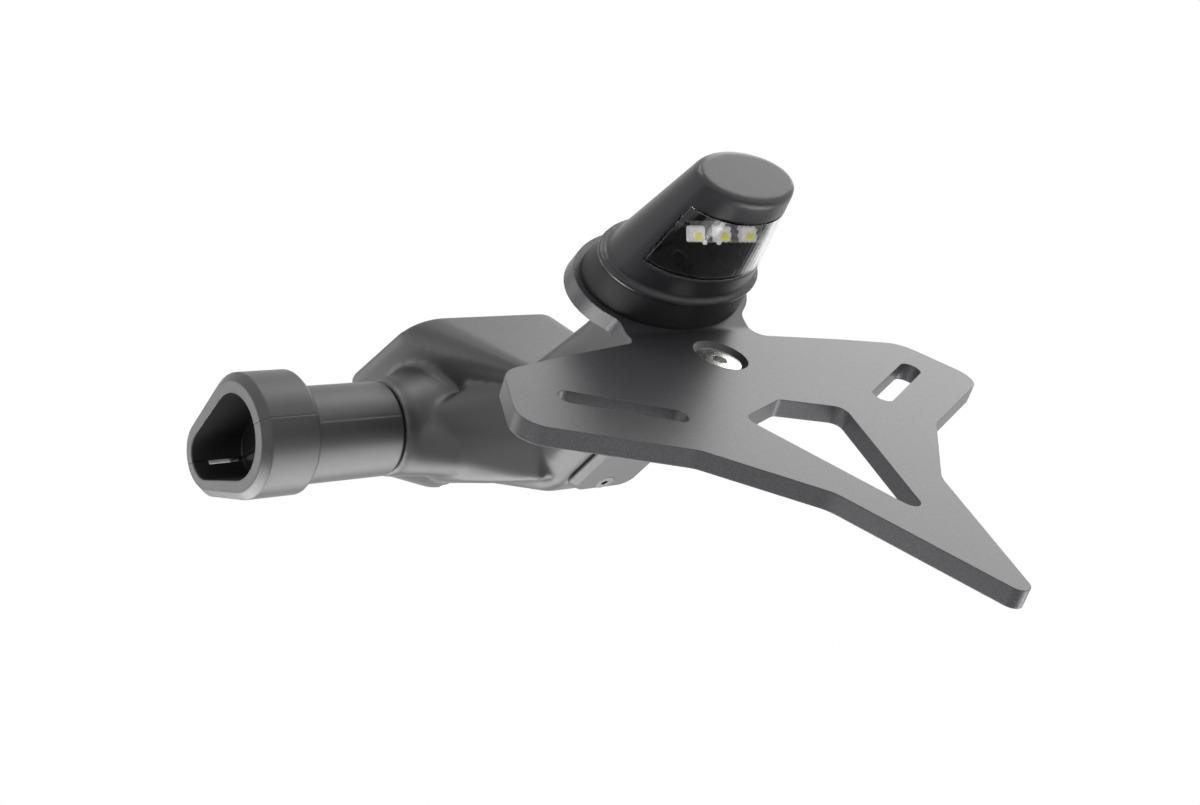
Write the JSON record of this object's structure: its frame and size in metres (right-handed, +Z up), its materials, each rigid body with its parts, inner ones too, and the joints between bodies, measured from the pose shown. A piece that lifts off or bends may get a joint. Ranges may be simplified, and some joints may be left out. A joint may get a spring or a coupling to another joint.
{
  "type": "motorbike tail tidy",
  "caption": "Number plate hanger of thick folded metal on a moulded arm under a motorbike's tail, with a plate lamp and hollow side stalks for indicators.",
  "frame": {"origin": "centre of the bike-side bolt holes, on the top face of the subframe plate", "axes": "+X to the right of the bike, +Y forward along the bike, +Z up and out of the top face"},
  "size_m": [0.1784, 0.1913, 0.1448],
  "materials": {
    "coated_plate": "fine textured powder coat",
    "bright_steel": "bright stainless",
    "dark_screw": "dark zinc",
    "brass_insert": "turned",
    "body_plastic": "satin moulded",
    "stalk_plastic": "satin moulded",
    "plate_alloy": "brushed",
    "soft_rubber": "smooth rubber",
    "lamp_plastic": "satin",
    "clear_lens": "clear gloss",
    "lamp_liner": "gloss",
    "circuit_board": "satin white lacquer, greyed by the lens",
    "light_chip": "clear yellow gel"
  },
  "bodies": {
    "root": {"hanger_plate": "coated_plate", "hanger_screw": "bright_steel", "hanger_insert": "brass_insert", "spine_body": "body_plastic", "belly_cover": "body_plastic", "cover_inserts": "brass_insert", "cover_screws": "dark_screw", "stalk_upper_left": "stalk_plastic", "stalk_lower_left": "stalk_plastic", "stalk_upper_right": "stalk_plastic", "stalk_lower_right": "stalk_plastic", "stalk_screws": "dark_screw", "stalk_lock_screws": "dark_screw", "subframe_plate": "plate_alloy", "plate_screws": "dark_screw", "plate_inserts": "brass_insert", "cable_grommet": "soft_rubber", "lamp_gasket": "soft_rubber", "lamp_housing": "lamp_plastic", "lamp_lens": "clear_lens", "lamp_reflector": "lamp_liner", "lamp_board": "circuit_board", "lamp_leds": "light_chip", "lamp_studs": "dark_screw", "lamp_washers": "bright_steel", "lamp_nuts": "bright_steel"}
  },
  "joints": []
}
